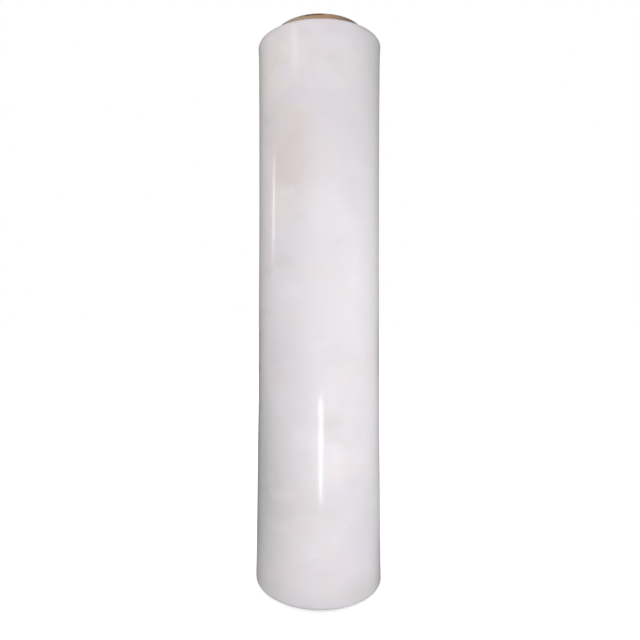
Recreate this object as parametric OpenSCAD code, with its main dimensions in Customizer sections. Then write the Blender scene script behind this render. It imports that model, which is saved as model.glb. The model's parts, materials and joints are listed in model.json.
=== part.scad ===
// Stretch wrap roll: clear stretch film wound on a spirally wound paperboard core.
// It stands on the core's lower end, with the axis along +Z and the origin on the axis, at the floor.
// Lengths are in millimetres.

/* [Core] */
// Bore of the core, the common three-inch size
core_bore_d = 76; // [38:1:152]
// Wall of the core
core_wall = 4; // [1.5:0.5:12]
// Length of core that stands out above the film
core_head = 12.5; // [2:0.5:60]
// Length of core that stands out below the film, which the roll stands on
core_foot = 5; // [2:1:60]
// Bevel that the knife leaves round the core's cut ends, inside and outside
core_bevel = 0.3; // [0.1:0.1:0.6]

/* [Film] */
// Width of the film, which is the height of the wound roll
film_width = 500; // [250:10:1000]
// Depth of film wound on the core, at the roll's waist
film_build = 14.7; // [8:0.1:80]
// Height of the waist above the film's lower end, as a share of its width
waist_share = 0.6; // [0.3:0.05:0.7]
// Rise of the film's radius from the waist to the upper end
upper_flare = 1.05; // [0:0.05:3]
// Rise of the film's radius from the waist to the lower end
lower_flare = 1.45; // [0:0.05:3]
// Further rise of the hard bead at the upper end, where the slit edges build up
upper_bead = 0.4; // [0:0.1:1.5]
// Further rise of the bead at the lower end
lower_bead = 0.1; // [0:0.1:1.5]
// Length of film over which each bead fades
bead_length = 9; // [4:1:30]
// Rounding of the roll's upper rim
upper_rim_r = 2.2; // [0.3:0.1:3]
// Rounding of the roll's lower rim
lower_rim_r = 2; // [0.3:0.1:3]

/* [Turns] */
// Number of bands of turns on each end face, where turns that slid together while winding form a band
bands = 11; // [6:1:30]
// Height of each band's crest above the valleys beside it
crest_rise = 0.2; // [0.05:0.01:0.4]
// Step between neighbouring bands that slid along the axis
slip_step = 0.3; // [0:0.05:0.8]
// Step at the film's free edge, drawn some ten times as high as the thin film makes it
lap_step = 0.2; // [0.1:0.05:0.6]
// Direction of the film's free edge, measured from +X about +Z
free_edge_angle = 128; // [0:1:359]

/* [Hidden] */

core_r = core_bore_d / 2 + core_wall;
core_length = core_foot + film_width + core_head;
waist_r = core_r + film_build;
waist_z = film_width * waist_share;

// The last turn is drawn from two half circles, with their centres this far to either side of the
// axis: they meet flush on one side, and on the other side they leave the step of the free edge
lap_shift = lap_step / 4;
// The halves reach this far inside the core's surface, and the core's room is then cut out of them
core_overlap = 1;

// Steps along the film's side, closest at its two ends, and steps round its rim
side_steps = 22;
rim_steps = 3;
round_fn = 72;

// How fast the slips follow each other along an end face, in degrees a band, and how far they go
slip_rate = 67;
slip_reach = 1.3;
upper_slip_phase = 20;
lower_slip_phase = 205;

// Colours of the two materials
board_colour = [0.62, 0.45, 0.31];
film_colour = [0.88, 0.86, 0.88];

// Radius of the film's side at height z above its lower end: a long hollow curve through the waist,
// which rises as the square of the distance from it, and a short bead at each end
function side_r(z) =
    let (above = z > waist_z)
    let (share = (z - waist_z) / (above ? film_width - waist_z : waist_z))
    let (from_end = min(z, film_width - z))
    waist_r + (above ? upper_flare : lower_flare) * share * share
    + (above ? upper_bead : lower_bead) * exp(-pow(from_end / bead_length, 2));

// Height of step i of the side, between the two rims, with the steps closest at the ends
function side_z(i) =
    lower_rim_r + (film_width - lower_rim_r - upper_rim_r) * (1 - cos(180 * i / side_steps)) / 2;

// Whole steps by which band i, counted inwards from the rim, slid along the axis
function slip(i, phase) = round(slip_reach * sin(slip_rate * i + phase)) - round(slip_reach * sin(phase));

// One end face from the rim inwards to the core, as a radius and a height above the end's plane: each
// band is a crest and the valley inside it, and the whole band moves with its slip
function end_face(start_r, phase) =
    let (band_width = (start_r - core_r) / bands)
    [
        for (i = [0 : bands - 1], half = [0, 1])
            [
                start_r - (i + half / 2) * band_width,
                slip_step * slip(i, phase) - half * crest_rise
            ],
        [core_r - core_overlap, slip_step * slip(bands - 1, phase) - crest_rise]
    ];

// A rim as a quarter circle from the side to the end face, without its last point
function rim(centre_r, rim_r) = [
    for (i = [0 : rim_steps - 1])
        let (a = 90 * i / rim_steps)
        [centre_r + rim_r * cos(a), rim_r * sin(a) - rim_r]
];

// Cross-section of the wound film on one side of its axis, from its lower end: the end face, the rim,
// the side, the upper rim and the upper end face
function film_section() =
    let (lower_r = side_r(0) - lower_rim_r)
    let (upper_r = side_r(film_width) - upper_rim_r)
    let (lower = concat(rim(lower_r, lower_rim_r), end_face(lower_r, lower_slip_phase)))
    let (upper = concat(rim(upper_r, upper_rim_r), end_face(upper_r, upper_slip_phase)))
    concat(
        [for (i = [len(lower) - 1 : -1 : 0]) [lower[i].x, -lower[i].y]],
        [for (i = [1 : side_steps - 1]) [side_r(side_z(i)), side_z(i)]],
        [for (p = upper) [p.x, film_width + p.y]]
    );

// Half of the wound film: its centre and its radius both move by lap_shift, out for side 1, in for -1
module film_half(side) {
    translate([side * lap_shift, 0, 0])
        rotate_extrude(angle = 180, start = side > 0 ? 0 : 180, $fn = round_fn)
            translate([side * lap_shift, 0])
                polygon(film_section());
}

// The wound film in its two halves, with the free edge along the whole roll
module film_roll() {
    color(film_colour)
        difference() {
            translate([0, 0, core_foot])
                rotate([0, 0, free_edge_angle])
                    union() {
                        film_half(1);
                        film_half(-1);
                    }
            core_space();
        }
}

// The room that the core fills, as long as the core itself
module core_space() {
    cylinder(r = core_r, h = core_length, $fn = round_fn);
}

// The paperboard tube, cut off square by a knife that leaves small bevels
module core() {
    bore_r = core_bore_d / 2;
    color(board_colour)
        rotate_extrude($fn = round_fn)
            polygon([
                [bore_r + core_bevel, 0],
                [core_r - core_bevel, 0],
                [core_r, core_bevel],
                [core_r, core_length - core_bevel],
                [core_r - core_bevel, core_length],
                [bore_r + core_bevel, core_length],
                [bore_r, core_length - core_bevel],
                [bore_r, core_bevel]
            ]);
}

core();
film_roll();
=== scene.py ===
import json
import math

import bpy
import numpy as np
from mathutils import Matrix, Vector


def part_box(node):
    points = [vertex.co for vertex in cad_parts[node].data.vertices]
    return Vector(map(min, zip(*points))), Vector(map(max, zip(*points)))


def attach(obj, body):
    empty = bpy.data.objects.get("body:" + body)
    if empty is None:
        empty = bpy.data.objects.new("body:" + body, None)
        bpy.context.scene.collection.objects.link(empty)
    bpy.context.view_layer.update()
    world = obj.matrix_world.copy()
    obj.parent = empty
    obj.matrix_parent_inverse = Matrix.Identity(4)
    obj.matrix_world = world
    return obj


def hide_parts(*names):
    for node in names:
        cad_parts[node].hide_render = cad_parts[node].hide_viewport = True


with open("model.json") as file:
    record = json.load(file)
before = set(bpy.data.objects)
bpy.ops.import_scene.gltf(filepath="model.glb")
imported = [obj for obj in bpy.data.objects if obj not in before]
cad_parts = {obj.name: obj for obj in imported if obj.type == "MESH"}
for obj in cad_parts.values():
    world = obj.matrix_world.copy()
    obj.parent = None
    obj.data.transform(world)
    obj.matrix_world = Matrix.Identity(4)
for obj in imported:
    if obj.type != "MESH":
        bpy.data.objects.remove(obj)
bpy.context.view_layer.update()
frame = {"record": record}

core_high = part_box("core")[1]

MM = 0.001
FULL_TURN = 2 * math.pi

# Core: its radii and its top come from the frame, the rest from how such tubes are wound
CORE_R = core_high.x
CORE_TOP = core_high.z
BORE_R = next(m["dims"]["r_mm"] for m in frame["record"]["mounts"] if m["name"] == "core_bore") * MM
CORE_BEVEL = 0.3 * MM
PLIES = 5
PLY_PITCH = 136 * MM
# Where the outer seam and the bore's seam start at the foot: shares of a turn, clockwise from +X
OUTER_SEAM_TURN = 0.36
BORE_SEAM_TURN = 0.81

# Film: the same driving dimensions as the solid that it stands for
FILM_FOOT = 5 * MM
FILM_WIDTH = 500 * MM
FILM_BUILD = 14.7 * MM
WAIST_SHARE = 0.6
UPPER_FLARE = 1.05 * MM
LOWER_FLARE = 1.45 * MM
UPPER_BEAD = 0.4 * MM
LOWER_BEAD = 0.1 * MM
BEAD_LENGTH = 9 * MM
UPPER_RIM_R = 2.2 * MM
LOWER_RIM_R = 2 * MM
BANDS = 11
CREST_RISE = 0.2 * MM
SLIP_STEP = 0.3 * MM
SLIP_RATE = 67
SLIP_REACH = 1.3
UPPER_SLIP_PHASE = 20
LOWER_SLIP_PHASE = 205
LAP_STEP = 0.2 * MM
FREE_EDGE_ANGLE = math.radians(128)

WAIST_R = CORE_R + FILM_BUILD
FILM_TOP = FILM_FOOT + FILM_WIDTH
WAIST_Z = FILM_WIDTH * WAIST_SHARE
# Each of the two pieces stays this far off their common surface, so that no two faces coincide
SKIN_GAP = 0.04 * MM


# Meshes

def ring_mesh(name, points, **attributes):
    """A closed ring from an array of points (rows, columns, 3): the rows run round the cross-section
    and the columns round the axis, and both wrap. Each attribute is an array (rows, columns)."""
    rows, columns = points.shape[:2]
    index = np.arange(rows * columns).reshape(rows, columns)
    beside = np.roll(index, -1, axis=1)
    above = np.roll(index, -1, axis=0)
    across = np.roll(above, -1, axis=1)
    quads = np.stack([index, beside, across, above], axis=-1).reshape(-1, 4)
    mesh = bpy.data.meshes.new(name)
    mesh.from_pydata(points.reshape(-1, 3), [], quads)
    for key, values in attributes.items():
        layer = mesh.attributes.new(key, "FLOAT", "POINT")
        layer.data.foreach_set("value", np.ascontiguousarray(values, dtype=np.float32).ravel())
    mesh.shade_smooth()
    mesh.update()
    piece = bpy.data.objects.new(name, mesh)
    bpy.context.scene.collection.objects.link(piece)
    return piece


def join_rows(sections, angle):
    """The sections of a cross-section, one after the other. Each section holds the same measures, as
    numbers or as arrays of rows. Each measure is spread over its section's rows and over all angles,
    and comes back as one array (rows, columns)."""
    filled = [np.broadcast_arrays(*section, angle)[:-1] for section in sections]
    return [np.concatenate(rows) for rows in zip(*filled)]


def polar(radius, angle, height):
    """Points from a radius, an angle about +Z and a height, as arrays that go together."""
    radius, angle, height = np.broadcast_arrays(radius, angle, height)
    return np.stack([radius * np.cos(angle), radius * np.sin(angle), height], axis=-1)


def bump_at(x, centre, width):
    """A smooth bump of height 1 at centre that falls off as a Gaussian of the width."""
    return np.exp(-((x - centre) / width) ** 2)


def ramp(x, length):
    """A straight rise from 0 where x is 0 to 1 where x is the length, held at both ends."""
    return np.clip(x / length, 0, 1)


def wave_sum(angle, height, rng, count, turns, lengths, spread):
    """Sum of cosines over the unrolled side. Each has a whole number of waves round the axis, picked
    from turns, a wavelength along the axis, picked from lengths, and a phase of its own. The sum is
    scaled so that its usual size is spread."""
    total = np.zeros(np.broadcast(angle, height).shape)
    for _ in range(count):
        around = rng.integers(turns[0], turns[1] + 1) * rng.choice([-1, 1])
        along = FULL_TURN / rng.uniform(*lengths)
        total += np.cos(around * angle + along * height + rng.uniform(0, FULL_TURN))
    return total * spread / math.sqrt(count / 2)


# Wound film

# Rows along its cross-section and columns round the axis, some of them close to its free edge
FACE_ROWS = 97
RIM_ROWS = 7
SIDE_ROWS = 132
FILM_COLUMNS = 288
EDGE_COLUMNS = 12
# How much of the rows' spacing along the side is even; the rest crowds them towards both ends
EVEN_SHARE = 0.65

# End faces: how far a band leans, in which numbers of waves, and how far its lean reaches, in bands
BAND_LEAN = 0.07 * MM
LEAN_WAVES = (1, 2, 3)
LEAN_REACH = 0.6
# The single turns that show on an end face, their levels with spare ones past the core, and how far one
# stands proud or lies low
FINE_TURNS = 90
FINE_LEVELS = FINE_TURNS + 3
FINE_RISE = 0.035 * MM

# Free edge: the angle beside it where columns lie close and its wave fades, the angle that the step
# itself takes, and the power that crowds those columns
EDGE_REACH = 0.12
EDGE_STEP_ANGLE = 0.0022
EDGE_CROWDING = 1.6
# Its wave is an angle, and has a long part and a short one that is weaker
EDGE_WAVE = 0.012
LONG_EDGE_WAVE = 310 * MM
SHORT_EDGE_WAVE = 87 * MM
SHORT_WAVE_SHARE = 0.4

# Relief of the side, as sums of waves: their count, turns round the axis, lengths along it, usual height
SOFT_BANDS = (26, (0, 3), (9 * MM, 70 * MM), 0.010 * MM)
TENSION_SWELLS = (22, (4, 15), (90 * MM, 420 * MM), 0.035 * MM)
PUCKER_WAVES = (14, (2, 9), (12 * MM, 60 * MM), 0.12 * MM)
# Thicker and thinner bands of film: their count, height, places as shares of the width, and lengths
GAUGE_BANDS = 26
GAUGE_RELIEF = 0.022 * MM
GAUGE_PLACES = (0.03, 0.97)
GAUGE_LENGTHS = (2 * MM, 7 * MM)
# Puckers: the angles behind the free edge over which they fade out and over which they come up, how much
# more closely they follow each other than whole waves, and their deepest hollow
PUCKER_REACH = 0.3
PUCKER_START = PUCKER_REACH / 14
PUCKER_CROWDING = 2.5
PUCKER_HOLLOW = -0.036 * MM
# The relief fades out over this length beside each rim
CALM_LENGTH = 4 * MM
FILM_SEED = 41


def side_radius(z):
    """Radius of the film's side at height z above its lower end: the waist radius, plus a flare that
    grows as the square of the distance from the waist, plus a Gaussian bead at each end."""
    above = z > WAIST_Z
    share = (z - WAIST_Z) / np.where(above, FILM_WIDTH - WAIST_Z, WAIST_Z)
    from_end = np.minimum(z, FILM_WIDTH - z)
    flare = np.where(above, UPPER_FLARE, LOWER_FLARE) * share ** 2
    return WAIST_R + flare + np.where(above, UPPER_BEAD, LOWER_BEAD) * bump_at(from_end, 0, BEAD_LENGTH)


def side_spacing(count):
    """Shares from 0 to 1 that lie closer together at both ends: a part in even steps, and the rest in
    the steps of half a cosine."""
    even = np.linspace(0, 1, count)
    return EVEN_SHARE * even + (1 - EVEN_SHARE) * (1 - np.cos(math.pi * even)) / 2


def slips(phase):
    """Whole steps by which each band of turns slid along the axis, counted inwards from the rim."""
    waves = SLIP_REACH * np.sin(np.radians(SLIP_RATE * np.arange(BANDS) + phase))
    return np.round(waves) - np.round(SLIP_REACH * math.sin(math.radians(phase)))


def end_height(depth, angle, phase, rng):
    """Height of an end face above its plane, where depth runs from 0 at the rim to 1 at the core. Each
    band is a crest and a valley, joined by straight lines, as in the solid. On top of that each band
    leans a little round the axis, as a sum of cosines, and the single turns form one spiral whose
    height runs in straight lines between levels picked for each turn."""
    knots = np.arange(2 * BANDS + 1) / (2 * BANDS)
    steps = slips(phase) * SLIP_STEP
    heights = np.append(np.repeat(steps, 2) - np.tile([0, CREST_RISE], BANDS), steps[-1] - CREST_RISE)
    base = np.interp(depth, knots, heights)
    lean = np.zeros(np.broadcast(depth, angle).shape)
    for band in range(BANDS):
        weight = bump_at(depth * BANDS, band + 0.5, LEAN_REACH)
        for waves in LEAN_WAVES:
            start = rng.uniform(0, FULL_TURN)
            lean += weight * rng.normal(0, BAND_LEAN / waves) * np.cos(waves * angle + start)
    turn = depth * FINE_TURNS + angle / FULL_TURN
    fine = np.interp(turn, np.arange(FINE_LEVELS), rng.normal(0, FINE_RISE, FINE_LEVELS))
    return base + (lean + fine) * ramp(depth, 1 / BANDS)


def film_angles():
    """Angles round the film, counted from its free edge: even steps, with closer ones beside the edge,
    and the last one just short of it, so that the edge is a steep step."""
    beside = EDGE_REACH * np.linspace(0, 1, EDGE_COLUMNS, endpoint=False) ** EDGE_CROWDING
    even = np.linspace(EDGE_REACH, FULL_TURN - EDGE_REACH, FILM_COLUMNS - 2 * EDGE_COLUMNS)
    return np.concatenate([beside, even, FULL_TURN - EDGE_STEP_ANGLE - beside[::-1]])


def lap_offset(turn):
    """How far the last turn lies from the mean radius at the angle turn from its free edge. Two half
    circles with centres beside the axis: each offset is a quarter step times one plus the cosine, out
    in the first half and in in the second."""
    return LAP_STEP / 4 * (1 + np.cos(turn)) * np.where(turn < math.pi, 1, -1)


def edge_sway(turn, height):
    """How far the film's free edge strays round the axis, as an angle: a long sine and a weaker short
    cosine along the axis, which fade as a Gaussian of the angle from the edge."""
    slow = np.sin(FULL_TURN * height / LONG_EDGE_WAVE)
    quick = np.cos(FULL_TURN * height / SHORT_EDGE_WAVE)
    from_edge = np.minimum(turn, FULL_TURN - turn)
    return EDGE_WAVE * (slow + SHORT_WAVE_SHARE * quick) * bump_at(from_edge, 0, EDGE_REACH)


def side_relief(turn, z, rng):
    """What stands off the film's smooth side: soft bands that run round the roll and long slanting
    swells from the winding tension, both sums of waves; Gaussian bands where the film is thicker or
    thinner; and small puckers of trapped air under the last turn, a sum of waves that comes up and
    fades out exponentially behind its free edge. All of it is calm beside the rims."""
    relief = wave_sum(turn, z, rng, *SOFT_BANDS)
    relief += wave_sum(turn, z, rng, *TENSION_SWELLS)
    for _ in range(GAUGE_BANDS):
        centre = rng.uniform(*GAUGE_PLACES) * FILM_WIDTH
        rise = rng.normal(0, GAUGE_RELIEF)
        relief += rise * bump_at(z, centre, rng.uniform(*GAUGE_LENGTHS))
    fan = np.exp(-turn / PUCKER_REACH) * (1 - np.exp(-turn / PUCKER_START))
    puckers = wave_sum(turn * PUCKER_CROWDING, z, rng, *PUCKER_WAVES)
    relief += fan * np.maximum(puckers, PUCKER_HOLLOW)
    return relief * ramp(np.minimum(z, FILM_WIDTH - z), CALM_LENGTH)


def wound_film():
    """The film as one ring. Its cross-section runs out along the lower end face, round the lower rim, up
    the side, round the upper rim and in along the upper end face; the last row joins the first down
    the core."""
    rng = np.random.default_rng(FILM_SEED)
    turn = film_angles()[None, :]
    depth = np.linspace(0, 1, FACE_ROWS)[:, None]
    bend = np.linspace(0, math.pi / 2, RIM_ROWS)[:, None]
    bare_side = FILM_WIDTH - LOWER_RIM_R - UPPER_RIM_R
    z = (LOWER_RIM_R + bare_side * side_spacing(SIDE_ROWS))[1:-1, None]

    inner_r = CORE_R + SKIN_GAP
    lower_r = side_radius(0) - LOWER_RIM_R
    upper_r = side_radius(FILM_WIDTH) - UPPER_RIM_R
    lower_rise = end_height(depth, turn, LOWER_SLIP_PHASE, rng)
    upper_rise = end_height(depth, turn, UPPER_SLIP_PHASE, rng)
    relief = side_relief(turn, z, rng)
    upper_rim_z = FILM_WIDTH - UPPER_RIM_R * (1 - np.sin(bend))

    # Each section: radius, height, how far it follows the free edge, and how far it is an end face
    outwards = depth[:0:-1]
    inwards = depth[1:]
    radius, height, follows, on_face = join_rows([
        (lower_r + (inner_r - lower_r) * outwards, -lower_rise[:0:-1], 1 - outwards, 1.0),
        (lower_r + LOWER_RIM_R * np.sin(bend), LOWER_RIM_R * (1 - np.cos(bend)), 1.0, np.cos(bend)),
        (side_radius(z) + relief, z, 1.0, 0.0),
        (upper_r + UPPER_RIM_R * np.cos(bend), upper_rim_z, 1.0, np.sin(bend)),
        (upper_r + (inner_r - upper_r) * inwards, FILM_WIDTH + upper_rise[1:], 1 - inwards, 1.0),
    ], turn)
    radius = radius + lap_offset(turn) * follows
    angle = turn + FREE_EDGE_ANGLE + edge_sway(turn, height) * follows
    return ring_mesh("wound_film", polar(radius, angle, height + FILM_FOOT), on_face=on_face)


# Core

# Columns round the axis, and rows up its outer wall, across a cut end and down the bore
CORE_COLUMNS = 480
FOOT_ROWS = 12
HIDDEN_ROWS = 8
HEAD_ROWS = 40
WALL_ROWS = 18
BORE_TOP_ROWS = 56
BORE_ROWS = 40
# The stretch of the outer wall that has few rows, because the film hides it
HIDDEN_FOOT = FILM_FOOT - 1 * MM
HIDDEN_TOP = FILM_TOP - 2 * MM
# Where the outer seam starts above the film's upper end, and the length over which it comes up
BARE_TOP = FILM_TOP - 1 * MM
SEAM_EASE = 1 * MM
# The bore's seam is carved this deep down from the head, and comes up over this length
BORE_DETAIL = 32 * MM
BORE_EASE = 6 * MM

# Seam: the groove's depth and width, and the lift of the ply beside it, with the length that it fades over
SEAM_DEPTH = 0.16 * MM
SEAM_WIDTH = 0.45 * MM
PLY_LIFT = 0.07 * MM
LIFT_LENGTH = 3 * MM

# Cut ends: how far the plies stand proud or lie low, the groove at each glue line, with its width as a
# share of a ply, the roughness that the knife left, and how far the whole end lies in
PLY_STEP = 0.05 * MM
GLUE_GROOVE = 1.6 * PLY_STEP
GLUE_WIDTH = 0.16
CUT_FUZZ = 0.35 * PLY_STEP
CUT_SINK = 2 * PLY_STEP
# The knife's waves round the tube: number of waves, size against a ply's step, and phase
KNIFE_WAVES = ((1, 1.0, 1), (3, 0.6, 0), (11, 0.3, 2))
# All this comes up over a share of the wall at each face, and the foot is pressed flatter by the weight
CUT_EASE = 1 / 8
FOOT_PRESS = 0.5
CORE_SEED = 17


def seam_distance(angle, z, start_turn):
    """Distance from a point on the tube's wall to the nearest butt seam of its outer ply. The seam is a
    helix that climbs PLY_PITCH a turn, so the distance along the axis is wrapped to half a pitch and
    then turned square to the seam."""
    climb = PLY_PITCH / (FULL_TURN * CORE_R)
    along = (z / PLY_PITCH - angle / FULL_TURN - start_turn + 0.5) % 1 - 0.5
    return along * PLY_PITCH / math.sqrt(1 + climb ** 2)


def seam_relief(distance):
    """A narrow Gaussian groove at the seam, with the ply on one side of it lifted: the lift is highest
    beside the seam and falls off exponentially."""
    lift = PLY_LIFT * np.where(distance > 0, np.exp(-distance / LIFT_LENGTH), 0)
    return lift - SEAM_DEPTH * bump_at(distance, 0, SEAM_WIDTH)


def cut_end(share, angle, rng):
    """Height of the cut end across the wall, where share runs from 0 at one face to 1 at the other: the
    plies stand a hair higher or lower than each other, with a groove at each glue line, and the knife
    left slow waves round the tube."""
    levels = rng.normal(0, PLY_STEP, PLIES + 1)
    ply = np.clip((share * PLIES).astype(int), 0, PLIES)
    from_glue = (share * PLIES + 0.5) % 1 - 0.5
    groove = -GLUE_GROOVE * bump_at(from_glue, 0, GLUE_WIDTH)
    wave = PLY_STEP * sum(size * np.cos(waves * angle + phase) for waves, size, phase in KNIFE_WAVES)
    fuzz = rng.normal(0, CUT_FUZZ, np.broadcast(share, angle).shape)
    inside = ramp(np.minimum(share, 1 - share), CUT_EASE)
    return (levels[ply] + groove + wave + fuzz) * inside - CUT_SINK


def core_tube():
    """The paperboard tube as one ring. Its cross-section runs up the outer wall, in across the upper cut
    end, down the bore and out across the lower cut end."""
    rng = np.random.default_rng(CORE_SEED)
    angle = np.linspace(0, FULL_TURN, CORE_COLUMNS, endpoint=False)[None, :]

    outer_r = CORE_R - SKIN_GAP
    outer_z = np.concatenate([
        np.linspace(CORE_BEVEL, HIDDEN_FOOT, FOOT_ROWS, endpoint=False),
        np.linspace(HIDDEN_FOOT, HIDDEN_TOP, HIDDEN_ROWS, endpoint=False),
        np.linspace(HIDDEN_TOP, CORE_TOP - CORE_BEVEL, HEAD_ROWS),
    ])[:, None]
    bare = ramp(outer_z - BARE_TOP, SEAM_EASE) + ramp(HIDDEN_FOOT - outer_z, SEAM_EASE)
    outer = outer_r + seam_relief(seam_distance(angle, outer_z, OUTER_SEAM_TURN)) * bare

    detail_z = CORE_TOP - BORE_DETAIL
    bore_z = np.concatenate([
        np.linspace(CORE_TOP - CORE_BEVEL, detail_z, BORE_TOP_ROWS, endpoint=False),
        np.linspace(detail_z, CORE_BEVEL, BORE_ROWS),
    ])[:, None]
    bore_seam = seam_relief(seam_distance(angle, bore_z, BORE_SEAM_TURN))
    bore = BORE_R - bore_seam * ramp(bore_z - detail_z, BORE_EASE)

    share = np.linspace(0, 1, WALL_ROWS)[:, None]
    wall_r = outer_r - CORE_BEVEL + (BORE_R - outer_r + 2 * CORE_BEVEL) * share
    top_z = CORE_TOP + cut_end(share, angle, rng)
    foot_z = np.maximum(-cut_end(share, angle, rng) * FOOT_PRESS, 0)

    # Each section: radius and height
    radius, height = join_rows([
        (outer, outer_z),
        (wall_r, top_z),
        (bore, bore_z),
        (wall_r[::-1], foot_z),
    ], angle)
    return ring_mesh("core_tube", polar(radius, angle, height))


# Materials

class Recipe:
    """The nodes of a material, a light or the world, where each call adds one node and gives back its
    output."""

    def __init__(self, owner, coordinates="Object"):
        owner.use_nodes = True
        self.owner = owner
        self.nodes = owner.node_tree.nodes
        self.links = owner.node_tree.links
        self.place = self.nodes.new("ShaderNodeTexCoord").outputs[coordinates]

    def add(self, kind, inputs, **settings):
        """A node of the kind, with its settings, and with a value or a link in each of the inputs."""
        node = self.nodes.new(kind)
        for key, value in settings.items():
            setattr(node, key, value)
        for key, value in inputs.items():
            self.put(node.inputs[key], value)
        return node

    def put(self, socket, value):
        """Links an output to the socket, or sets a plain value on it."""
        if isinstance(value, bpy.types.NodeSocket):
            self.links.new(value, socket)
        else:
            socket.default_value = value

    def math(self, operation, *values):
        """The result of one operation on the values."""
        return self.add("ShaderNodeMath", dict(enumerate(values)), operation=operation).outputs[0]

    def product(self, *values):
        """All the values multiplied together."""
        total = values[0]
        for value in values[1:]:
            total = self.math("MULTIPLY", total, value)
        return total

    def rest(self, share):
        """What the share leaves of one."""
        return self.math("SUBTRACT", 1.0, share)

    def stretch(self, scale, place=None):
        """The place with each axis multiplied by its own scale."""
        inputs = {0: place or self.place, 1: scale}
        return self.add("ShaderNodeVectorMath", inputs, operation="MULTIPLY").outputs[0]

    def length(self, place):
        """How far the place is from the origin."""
        return self.add("ShaderNodeVectorMath", {0: place}, operation="LENGTH").outputs["Value"]

    def off_axis(self):
        """Distance of the place from the Z axis."""
        return self.length(self.stretch((1.0, 1.0, 0.0)))

    def noise(self, scale, detail, roughness, place=None, distortion=0.0):
        """Soft noise from 0 to 1. The scale is a number, or one number for each axis."""
        if isinstance(scale, tuple):
            place = self.stretch(scale, place)
            scale = 1.0
        inputs = {
            "Vector": place or self.place, "Scale": scale, "Detail": detail,
            "Roughness": roughness, "Distortion": distortion,
        }
        return self.add("ShaderNodeTexNoise", inputs).outputs["Fac"]

    def span(self, value, low, high, to_low=0.0, to_high=1.0):
        """The value with low and high moved to to_low and to_high, smoothly and held at the ends."""
        inputs = {"Value": value, "From Min": low, "From Max": high, "To Min": to_low, "To Max": to_high}
        return self.add("ShaderNodeMapRange", inputs, interpolation_type="SMOOTHSTEP").outputs["Result"]

    def blend(self, share, first, second):
        """The first number turning into the second as share goes from 0 to 1."""
        return self.add("ShaderNodeMix", {0: share, 2: first, 3: second}, data_type="FLOAT").outputs[0]

    def mix(self, share, first, second):
        """The first colour turning into the second as share goes from 0 to 1."""
        return self.add("ShaderNodeMix", {0: share, 6: first, 7: second}, data_type="RGBA").outputs[2]

    def lean(self, share, first, second):
        """The first direction turning into the second as share goes from 0 to 1."""
        return self.add("ShaderNodeMix", {0: share, 4: first, 5: second}, data_type="VECTOR").outputs[1]

    def parts(self, place=None):
        """The place's x, y and z."""
        node = self.add("ShaderNodeSeparateXYZ", {0: place or self.place})
        return node.outputs["X"], node.outputs["Y"], node.outputs["Z"]

    def attribute(self, name):
        """A measure that the mesh carries."""
        return self.add("ShaderNodeAttribute", {}, attribute_name=name).outputs["Fac"]

    def bump(self, height, depth, strength, under=None):
        """A normal tilted by the height, which is depth metres high, on top of the normal under it."""
        inputs = {"Height": height, "Distance": depth, "Strength": strength}
        if under is not None:
            inputs["Normal"] = under
        return self.add("ShaderNodeBump", inputs).outputs["Normal"]

    def finish(self, **sockets):
        """Sets the shader's own sockets, and gives back the finished material."""
        surface = self.nodes["Principled BSDF"]
        for key, value in sockets.items():
            self.put(surface.inputs[key.replace("_", " ")], value)
        return self.owner


def rgb(red, green, blue):
    """An opaque colour."""
    return (red, green, blue, 1.0)


# Tints of the film
FILM_LILAC = rgb(0.865, 0.825, 0.855)
FILM_PALE = rgb(0.955, 0.920, 0.945)
FILM_WARM = rgb(0.825, 0.728, 0.728)
FILM_STRAW = rgb(0.945, 0.885, 0.845)
FILM_BEIGE = rgb(0.800, 0.735, 0.690)
FILM_CLEAR = rgb(0.835, 0.825, 0.850)
FILM_PINK = rgb(0.890, 0.800, 0.815)
FILM_BLUSH = rgb(0.960, 0.850, 0.845)
FILM_LAVENDER = rgb(0.850, 0.795, 0.880)
FILM_COOL = rgb(0.700, 0.722, 0.712)
FILM_SMOKE = rgb(0.700, 0.695, 0.692)
FILM_EDGE = rgb(0.800, 0.790, 0.810)
# Grey of the painted shade at the foot and at the sides of the upper rim
FILM_PAINTED_SHADE = rgb(0.560, 0.545, 0.560)
FACE_GAP = rgb(0.640, 0.622, 0.640)
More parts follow.
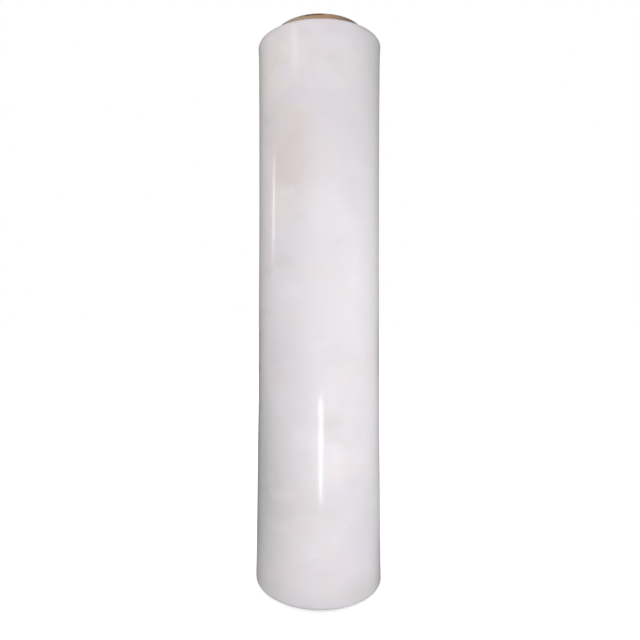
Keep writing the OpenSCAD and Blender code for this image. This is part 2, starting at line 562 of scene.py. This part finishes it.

# Pale patches here are painted light and darker ones painted shade, most of them tinted as well
# Faint patches on the side: colour, bearing in degrees, height, reach across and along the axis, strength
PAINTED_LIGHT_AND_TINT_PATCHES = (
    (FILM_WARM, -26, 0.410, 0.039, 0.100, 0.88),
    (FILM_WARM, -29, 0.380, 0.024, 0.036, 0.90),
    (FILM_BEIGE, -29, 0.410, 0.030, 0.036, 0.35),
    (FILM_BLUSH, -30, 0.485, 0.036, 0.050, 0.90),
    (FILM_BLUSH, -43, 0.345, 0.028, 0.032, 0.80),
    (FILM_BLUSH, 12, 0.498, 0.030, 0.020, 0.70),
    (FILM_LAVENDER, 12, 0.490, 0.034, 0.030, 0.50),
    (FILM_STRAW, -56, 0.464, 0.040, 0.036, 1.00),
    (FILM_STRAW, -60, 0.380, 0.024, 0.026, 0.80),
    (FILM_PALE, 28, 0.472, 0.050, 0.045, 0.90),
    (FILM_PALE, 10, 0.340, 0.050, 0.035, 0.35),
    (FILM_LAVENDER, 33, 0.352, 0.016, 0.036, 0.80),
    (FILM_SMOKE, -36, 0.500, 0.024, 0.018, 0.35),
    (FILM_CLEAR, -12, 0.130, 0.046, 0.070, 0.80),
    (FILM_CLEAR, -18, 0.070, 0.034, 0.024, 0.60),
    (FILM_PALE, -10, 0.146, 0.022, 0.022, 0.40),
    (FILM_PALE, 24, 0.124, 0.034, 0.026, 0.35),
    (FILM_SMOKE, 10, 0.160, 0.020, 0.014, 0.50),
    (FILM_SMOKE, 12, 0.090, 0.064, 0.030, 0.40),
    (FILM_COOL, -66, 0.105, 0.032, 0.120, 1.00),
    (FILM_SMOKE, -46, 0.095, 0.032, 0.098, 0.80),
    (FILM_SMOKE, -40, 0.096, 0.045, 0.030, 0.55),
    (FILM_PINK, -24, 0.042, 0.024, 0.045, 0.50),
    (FILM_LAVENDER, 36, 0.062, 0.030, 0.070, 0.80),
    (FILM_LAVENDER, 22, 0.036, 0.026, 0.020, 0.60),
    (FILM_SMOKE, 38, 0.020, 0.024, 0.018, 0.50),
    (FILM_LAVENDER, 70, 0.110, 0.032, 0.130, 0.60),
    (FILM_LAVENDER, 62, 0.440, 0.032, 0.090, 0.35),
    (FILM_PINK, -20, 0.098, 0.034, 0.020, 0.60),
    (FILM_LAVENDER, 30, 0.104, 0.026, 0.018, 0.70),
    (FILM_SMOKE, 70, 0.102, 0.026, 0.045, 0.45),
    (FILM_SMOKE, 48, 0.070, 0.034, 0.034, 0.25),
)
# A patch comes up from its reach, which is 1, to a tenth of it, and the haze makes it ragged
PATCH_FADE = (1.0, 0.1)
PATCH_RAGGED = (0.25, 0.60, 0.6, 1.0)

# Noises are given as their scale, detail and roughness
FILM_HAZE = (9.0, 4.0, 0.55)
HAZE_CURL = 0.6
# Clouds all over the film: the noise, and each tint with the noise's values where it starts and where it
# is full, and its strength there. The last noise is streaks that run round the roll
FILM_CLOUDS = (
    (((34.0, 34.0, 46.0), 3.0, 0.5), ((FILM_SMOKE, 0.55, 0.80, 0.35), (FILM_PALE, 0.45, 0.20, 0.45))),
    (((21.0, 21.0, 27.0), 2.0, 0.5), ((FILM_PINK, 0.52, 0.75, 0.60), (FILM_LAVENDER, 0.48, 0.25, 0.50))),
    (((14.0, 14.0, 260.0), 3.0, 0.6), ((FILM_EDGE, 0.35, 0.75, 0.10),)),
)
# Shades: the lengths or values where one starts and where it is full, and its strength at both
CLEAR_SIDE = (20 * MM, 50 * MM, 0.0, 0.35)
# Painted shade along the upper rim at its sides, and all round the foot
UPPER_RIM_PAINTED_SHADE = (6 * MM, 1 * MM)
PAINTED_SHADE_SIDES = (26 * MM, 42 * MM, 0.0, 0.55)
FOOT_PAINTED_SHADE = ((20 * MM, 4 * MM, 0.0, 0.13), (3.6 * MM, 1 * MM, 0.0, 0.35))

# End faces: the noises that draw the edges of turns and the bands that they form, their shades, and how
# far round the rim the face's colour and relief start and are full
TURN_RINGS = (2600.0, 2.0, 0.7)
BAND_RINGS = (420.0, 2.0, 0.5)
TURN_SHADE = (0.40, 0.66)
BAND_SHADE = (0.35, 0.65, 0.0, 0.6)
FACE_COLOUR_AT = (0.55, 0.98)
FACE_RELIEF_AT = (0.60, 0.98)
# Bumps: the depth and the strength
RING_BUMP = (0.12 * MM, 0.8)
GRAIN_BUMP = (0.02 * MM, 0.35)
# Fine grain of the film, and the values of the haze with the roughness at both
FILM_GRAIN = ((60.0, 60.0, 900.0), 2.0, 0.6)
FILM_ROUGHNESS = (0.3, 0.7, 0.34, 0.44)


def film_patch(make, bearing, height, across, along):
    """How near the place is to a spot on the film's side, from 1 at the spot to 0 at the reach across
    and along the axis. The bearing is in degrees, from -Y towards +X."""
    turn = math.radians(bearing)
    spot = (WAIST_R * math.sin(turn), -WAIST_R * math.cos(turn), height)
    away = make.add("ShaderNodeVectorMath", {0: make.place, 1: spot}, operation="SUBTRACT").outputs[0]
    distance = make.length(make.stretch((1 / across, 1 / across, 1 / along), place=away))
    return make.span(distance, *PATCH_FADE)


def film_body(make, haze):
    """Colour of the film's side: lilac white with faint patches of painted light and shade, clouded and
    streaked all over, greyer towards +X, with painted shade all round the foot and at the upper rim's
    sides."""
    ragged = make.span(haze, *PATCH_RAGGED)
    body = FILM_LILAC
    # Patches of painted light and painted shade, most of them tinted
    for tint, bearing, height, across, along, strength in PAINTED_LIGHT_AND_TINT_PATCHES:
        share = make.product(film_patch(make, bearing, height, across, along), ragged, strength)
        body = make.mix(share, body, tint)
    for noise, tints in FILM_CLOUDS:
        cloud = make.noise(*noise)
        for tint, start, full, strength in tints:
            body = make.mix(make.span(cloud, start, full, 0.0, strength), body, tint)
    x, _, z = make.parts()
    body = make.mix(make.span(x, *CLEAR_SIDE), body, FILM_CLEAR)
    # Painted shade along the upper rim, at its sides
    upper_rim = make.span(make.math("SUBTRACT", FILM_TOP, z), *UPPER_RIM_PAINTED_SHADE)
    beside = make.span(make.math("ABSOLUTE", x), *PAINTED_SHADE_SIDES)
    body = make.mix(make.product(upper_rim, beside), body, FILM_PAINTED_SHADE)
    # Painted shade all round the foot: a broad faint one and a narrow darker one
    from_foot = make.math("SUBTRACT", z, FILM_FOOT)
    for foot_shade in FOOT_PAINTED_SHADE:
        body = make.mix(make.span(from_foot, *foot_shade), body, FILM_PAINTED_SHADE)
    return body


def stretch_film():
    """Milky clear film: a soft white body with a clear gloss over it, and end faces that are lined with
    the edges of the turns and with the bands that they form."""
    make = Recipe(bpy.data.materials.new("stretch_film"))
    haze = make.noise(*FILM_HAZE, distortion=HAZE_CURL)
    face = make.attribute("on_face")
    ring_place = make.add("ShaderNodeCombineXYZ", {"X": make.off_axis()}).outputs[0]
    rings = make.noise(*TURN_RINGS, place=ring_place)
    bands = make.noise(*BAND_RINGS, place=ring_place)
    lined = make.mix(make.span(rings, *TURN_SHADE), FACE_GAP, FILM_EDGE)
    lined = make.mix(make.span(bands, *BAND_SHADE), lined, FILM_LILAC)
    colour = make.mix(make.span(face, *FACE_COLOUR_AT), film_body(make, haze), lined)

    grain = make.bump(make.noise(*FILM_GRAIN), *GRAIN_BUMP)
    rings_up = make.bump(rings, *RING_BUMP, under=grain)
    return make.finish(
        Base_Color=colour, Roughness=make.span(haze, *FILM_ROUGHNESS),
        Normal=make.lean(make.span(face, *FACE_RELIEF_AT), grain, rings_up),
        Subsurface_Weight=0.35, Subsurface_Radius=(1.0, 0.9, 0.92), Subsurface_Scale=4 * MM,
        IOR=1.5, Coat_Weight=0.9, Coat_Roughness=0.08, Coat_IOR=1.5, Specular_IOR_Level=0.35,
    )


# Tints of the board
KRAFT_PLAIN = rgb(0.550, 0.330, 0.190)
KRAFT_PALE = rgb(0.680, 0.445, 0.285)
KRAFT_DARK = rgb(0.315, 0.185, 0.105)
KRAFT_CUT = rgb(0.420, 0.275, 0.180)
KRAFT_DEEP = rgb(0.120, 0.070, 0.038)
KRAFT_OLIVE = rgb(0.500, 0.455, 0.355)
# Grey of the painted shade on the right of the core's front
KRAFT_GREY = rgb(0.270, 0.225, 0.210)

# Noises of the board: the clouds of the pulp, its fibres, and dark specks
PULP_CLOUDS = (55.0, 5.0, 0.6)
PULP_FIBRES = ((900.0, 900.0, 260.0), 4.0, 0.65)
FIBRE_CURL = 1.2
PULP_SPECKS = (1900.0, 2.0, 0.5)
# Shades that those noises draw, given as the film's are
PALE_CLOUDS = (0.3, 0.7)
DARK_FIBRES = (0.52, 0.72, 0.0, 0.5)
DARK_SPECKS = (0.64, 0.74, 0.0, 0.6)
# The front of the outer wall, how far clouds shift the edges of marks on it, the olive and the painted
# shade
FRONT_Y = (4 * MM, -12 * MM)
FRONT_EDGE_SHIFT = 30 * MM
OLIVE_LEFT = (-4 * MM, -22 * MM, 0.0, 0.85)
PAINTED_SHADE_RIGHT = (10 * MM, 32 * MM, 0.0, 0.75)
# Seam: distances over which its line fades, and how dark it is
SEAM_LINE = (0.7 * MM, 0.2 * MM)
SEAM_DARK = 0.75
# Cut ends: the layers' shade, and the distance from the end that still belongs to the cut
LAYER_SHADE = (-0.6, 0.9)
CUT_REACH = (0.32 * MM, 0.12 * MM)
# Dark edge: its distances from the end, the stretch of the front where it is darkest, and how dark
# it is elsewhere and there
DARK_EDGE_REACH = (2.2 * MM, 1.0 * MM)
DARKEST_RIGHT_END = (10 * MM, 0.0)
DARKEST_LEFT_END = (-20 * MM, -10 * MM)
EDGE_DARKNESS = (0.22, 0.92)
# Paler below that edge on the front, but not at the right
PALER_REACH = (2.2 * MM, 4.2 * MM, 0.0, 0.55)
PALER_RIGHT_END = (22 * MM, 12 * MM)
# Bumps and roughness, given as the film's are
FIBRE_BUMP = (0.12 * MM, 0.6)
SEAM_BUMP = (0.25 * MM, 0.8)
BOARD_ROUGHNESS = (0.3, 0.7, 0.72, 0.86)


def seam_line(make, in_bore):
    """How near the place is to the butt seam, from 1 on its line to 0 beside it. The seam is the helix
    of the mesh: the height in pitches, less the turn and the seam's start, wrapped so that the seam is
    at a half."""
    x, y, z = make.parts()
    turn = make.math("DIVIDE", make.math("ARCTAN2", y, x), FULL_TURN)
    climb = make.math("SUBTRACT", make.math("DIVIDE", z, PLY_PITCH), turn)
    start = make.math("MULTIPLY_ADD", in_bore, BORE_SEAM_TURN - OUTER_SEAM_TURN, OUTER_SEAM_TURN - 0.5)
    wrapped = make.math("WRAP", make.math("SUBTRACT", climb, start), 1.0, 0.0)
    off_seam = make.product(make.math("ABSOLUTE", make.math("SUBTRACT", wrapped, 0.5)), PLY_PITCH)
    return make.span(off_seam, *SEAM_LINE)


def kraft_board():
    """Brown kraft paperboard: mottled and flecked with fibres, olive on one side of the front and greyed
    by painted shade on the other, with the plies' butt seams as thin dark helices, greyer layers on the
    cut ends, and cut edges that are darker."""
    make = Recipe(bpy.data.materials.new("kraft_board"))
    x, y, z = make.parts()
    clouds = make.noise(*PULP_CLOUDS)
    fibres = make.noise(*PULP_FIBRES, distortion=FIBRE_CURL)
    specks = make.noise(*PULP_SPECKS)
    radius = make.off_axis()
    in_bore = make.math("LESS_THAN", radius, (CORE_R + BORE_R) / 2)
    in_front = make.product(make.span(y, *FRONT_Y), make.rest(in_bore))
    across = make.math("MULTIPLY_ADD", make.math("SUBTRACT", clouds, 0.5), FRONT_EDGE_SHIFT, x)
    seam = seam_line(make, in_bore)

    colour = make.mix(make.span(clouds, *PALE_CLOUDS), KRAFT_PLAIN, KRAFT_PALE)
    colour = make.mix(make.product(make.span(across, *OLIVE_LEFT), in_front), colour, KRAFT_OLIVE)
    # Painted shade: grey on the right of the front
    colour = make.mix(make.product(make.span(across, *PAINTED_SHADE_RIGHT), in_front), colour, KRAFT_GREY)
    colour = make.mix(make.span(fibres, *DARK_FIBRES), colour, KRAFT_DARK)
    colour = make.mix(make.span(specks, *DARK_SPECKS), colour, KRAFT_DARK)
    colour = make.mix(make.product(seam, SEAM_DARK), colour, KRAFT_DEEP)

    from_end = make.math("MINIMUM", make.math("SUBTRACT", CORE_TOP, z), z)
    darkest = make.product(
        make.span(across, *DARKEST_RIGHT_END), make.span(across, *DARKEST_LEFT_END), in_front
    )
    dark = make.span(darkest, 0.0, 1.0, *EDGE_DARKNESS)
    colour = make.mix(make.product(make.span(from_end, *DARK_EDGE_REACH), dark), colour, KRAFT_DEEP)
    paler = make.product(make.span(from_end, *PALER_REACH), make.span(across, *PALER_RIGHT_END))
    colour = make.mix(make.product(paler, in_front), colour, KRAFT_PALE)

    layers = make.math("SINE", make.product(radius, FULL_TURN * PLIES / (CORE_R - BORE_R)))
    cut = make.mix(make.span(layers, *LAYER_SHADE), KRAFT_CUT, KRAFT_PALE)
    colour = make.mix(make.span(from_end, *CUT_REACH), colour, cut)

    fibres_up = make.bump(fibres, *FIBRE_BUMP)
    return make.finish(
        Base_Color=colour, Roughness=make.span(clouds, *BOARD_ROUGHNESS),
        Normal=make.bump(make.rest(seam), *SEAM_BUMP, under=fibres_up), Specular_IOR_Level=0.3,
    )


# Stage, light and camera

# Floor: half its side, its tint, and its glow to the camera near the roll and far from it, with the two
# distances
FLOOR_REACH = 4.0
FLOOR_PALE = rgb(0.86, 0.86, 0.86)
FLOOR_GLOW = (0.62, 1.0)
FLOOR_FADE = (0.15, 0.7)
# How bright the gloss mirrors the floor: in front of the roll, and behind it on the left and the right,
# with the x where left and right end; how it dims farther behind; and the y over which behind begins
FLOOR_MIRRORED = 0.16
FLOOR_BEHIND_MIRRORED = (0.05, 0.52)
FLOOR_BREADTH = (-0.06, 0.05)
FLOOR_DIMMING = (0.05, 0.45, 1.0, 0.6)
FLOOR_BEHIND = (0.0, 0.15)

# Strength of the room behind the roll and in front of it: first as it lights the surface, then as its
# gloss mirrors it, with the y of the directions from which it is all behind and all in front
ROOM_LIGHT = (0.20, 0.20)
ROOM_MIRRORED = (0.21, 0.67)
ROOM_DEPTH = (0.75, -0.75)
# What the gloss mirrors straight behind the roll: its strength on the left and on the right, the x of
# the directions where these end, and the share of +Y in a level direction that counts as straight
BACK_MIRRORED = (0.04, 0.28)
BACK_BREADTH = (-0.12, 0.12)
BACK_NARROW = (0.86, 0.96)

# Soft boxes that light the surface: name, bearing in degrees, distance, height, the height on the axis
# that it faces, width and height, radiance
SOFT_BOXES = (
    ("left_box", -60, 1.30, 0.85, 0.25, (0.80, 0.80), 2.29),
    ("front_box", -10, 1.30, 0.85, 0.25, (0.80, 0.80), 2.76),
    ("low_box", 25, 0.45, 0.10, 0.10, (0.20, 0.16), 3.56),
    ("right_box", 60, 0.42, 0.28, 0.28, (0.16, 0.16), 6.0),
    ("far_box", 120, 1.00, 0.30, 0.25, (0.60, 0.60), 1.10),
    ("top_box", 180, 0.10, 1.20, 0.50, (0.24, 0.24), 3.0),
    ("rear_box", 190, 1.30, 0.60, 0.25, (0.80, 0.80), 3.8),
)
# Cards whose glints show how the film is curved: the same, and then the shares of the card's half width
# and half height over which the glint fades out
GLINT_CARDS = (
    ("left_glint", -91.2, 0.83, 0.48, 0.48, (0.120, 0.35), 4.4, (0.8, 0.9)),
    ("front_glint", 3.0, 0.2011, 0.0999, 0.0999, (0.044, 0.1131), 5.9, (1.0, 0.02)),
    ("upper_glint", -43.5, 0.781, 0.82, 0.49, (0.19, 0.14), 1.5, (0.12, 0.5)),
    ("rear_glint", 181, 0.90, 0.42, 0.42, (0.07, 0.30), 5.0, (0.8, 0.8)),
    ("low_glint", 29.0, 0.305, 0.05, 0.05, (0.28, 0.08), 1.0, (1.0, 1.0)),
)

# Camera: its place in metres, and its turns in radians, which are up, sideways tilt, and to the left
CAMERA_PLACE = (0.0, -0.5001, 0.2656)
CAMERA_PITCH = 0.02
CAMERA_ROLL = -0.0025
CAMERA_YAW = 0.0303
# The square frame's side, the focal length and the point that the camera's axis meets, in pixels
FRAME_SIDE = 640
FOCAL_PIXELS = 523.9
CENTRE_X = 302.99
CENTRE_Y = 287.77
# Width of the camera's sensor, in millimetres
SENSOR = 36.0


def stage_floor():
    """A pale floor. The camera sees it lit up to white, apart from the soft shade under the roll."""
    low, high = -FLOOR_REACH, FLOOR_REACH
    corners = [(low, low, 0), (high, low, 0), (high, high, 0), (low, high, 0)]
    mesh = bpy.data.meshes.new("floor")
    mesh.from_pydata(corners, [], [(0, 1, 2, 3)])
    floor = bpy.data.objects.new("floor", mesh)
    bpy.context.scene.collection.objects.link(floor)
    make = Recipe(bpy.data.materials.new("pale_floor"))
    path = make.add("ShaderNodeLightPath", {}).outputs
    glow = make.span(make.length(make.place), *FLOOR_FADE, *FLOOR_GLOW)
    x, y, _ = make.parts()
    breadth = make.span(x, *FLOOR_BREADTH, *FLOOR_BEHIND_MIRRORED)
    behind = make.product(breadth, make.span(y, *FLOOR_DIMMING))
    mirrored = make.blend(make.span(y, *FLOOR_BEHIND), FLOOR_MIRRORED, behind)
    mesh.materials.append(make.finish(
        Base_Color=make.mix(path["Is Glossy Ray"], FLOOR_PALE, mirrored),
        Roughness=0.9, Specular_IOR_Level=0.1,
        Emission_Color=rgb(1, 1, 1), Emission_Strength=make.product(glow, path["Is Camera Ray"]),
    ))


def studio_world():
    """White to the camera. To the object it is a soft room, bright in front and dim behind, which is
    what draws the film's dark outline."""
    world = bpy.data.worlds.new("studio")
    bpy.context.scene.world = world
    make = Recipe(world, coordinates="Generated")
    x, y, _ = make.parts()
    path = make.add("ShaderNodeLightPath", {}).outputs
    light = make.span(y, *ROOM_DEPTH, *ROOM_LIGHT)
    room = make.span(y, *ROOM_DEPTH, *ROOM_MIRRORED)
    back = make.span(x, *BACK_BREADTH, *BACK_MIRRORED)
    straight = make.span(make.math("DIVIDE", y, make.off_axis()), *BACK_NARROW)
    strength = make.blend(path["Is Glossy Ray"], light, make.blend(straight, room, back))
    background = make.nodes["Background"]
    make.put(background.inputs["Color"], rgb(1, 1, 1))
    make.put(background.inputs["Strength"], make.blend(path["Is Camera Ray"], strength, 1.0))


def fade_card(light, feather):
    """Fades the light out over the feather's shares of its half width and half height."""
    make = Recipe(light)
    on_card = make.parts(make.add("ShaderNodeNewGeometry", {}).outputs["Parametric"])
    fades = [
        make.span(make.math("ABSOLUTE", make.math("SUBTRACT", share, 0.5)), 0.5, 0.5 * (1 - soft))
        for share, soft in zip(on_card, feather)
    ]
    make.put(make.nodes["Emission"].inputs["Strength"], make.product(*fades))


def lamp(name, bearing, distance, height, aim, size, radiance, feather=None):
    """A flat light that faces the roll's axis at the height aim. It stands at the bearing in degrees,
    counted from the camera's side towards +X. Its power is its radiance times its area times pi. With
    a feather it only makes a glint; without one it only lights the surface."""
    light = bpy.data.lights.new(name, "AREA")
    light.shape = "RECTANGLE"
    light.size, light.size_y = size
    light.energy = radiance * size[0] * size[1] * math.pi
    stand = bpy.data.objects.new(name, light)
    turn = math.radians(bearing)
    place = Vector((distance * math.sin(turn), -distance * math.cos(turn), height))
    stand.location = place
    stand.rotation_euler = (Vector((0, 0, aim)) - place).to_track_quat("-Z", "Y").to_euler()
    stand.visible_camera = False
    stand.visible_diffuse = feather is None
    stand.visible_glossy = feather is not None
    stand.visible_transmission = False
    bpy.context.scene.collection.objects.link(stand)
    if feather:
        fade_card(light, feather)


def studio_lights():
    """The soft boxes, which light the surface, and the cards that it mirrors."""
    for row in SOFT_BOXES + GLINT_CARDS:
        lamp(*row)


def product_camera():
    """A nearly level, close camera at the roll's middle, turned a little to the left, with the frame
    shifted back onto the roll, as in the photograph."""
    camera = bpy.data.cameras.new("product_camera")
    camera.sensor_fit = "HORIZONTAL"
    camera.sensor_width = SENSOR
    camera.lens = SENSOR * FOCAL_PIXELS / FRAME_SIDE
    camera.shift_x = (FRAME_SIDE / 2 - CENTRE_X) / FRAME_SIDE
    camera.shift_y = (CENTRE_Y - FRAME_SIDE / 2) / FRAME_SIDE
    view = bpy.data.objects.new("product_camera", camera)
    view.location = CAMERA_PLACE
    view.rotation_euler = (math.pi / 2 + CAMERA_PITCH, CAMERA_ROLL, CAMERA_YAW)
    bpy.context.scene.collection.objects.link(view)
    bpy.context.scene.camera = view


def dress(piece, node, material):
    """Puts the piece in its node's place, on the one body, with its material."""
    piece.data.materials.append(material)
    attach(piece, "root")
    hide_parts(node)


bpy.context.scene.view_settings.view_transform = "Standard"
bpy.context.scene.cycles.use_denoising = True
product_camera()
studio_world()
studio_lights()
stage_floor()
dress(wound_film(), "film_roll", stretch_film())
dress(core_tube(), "core", kraft_board())
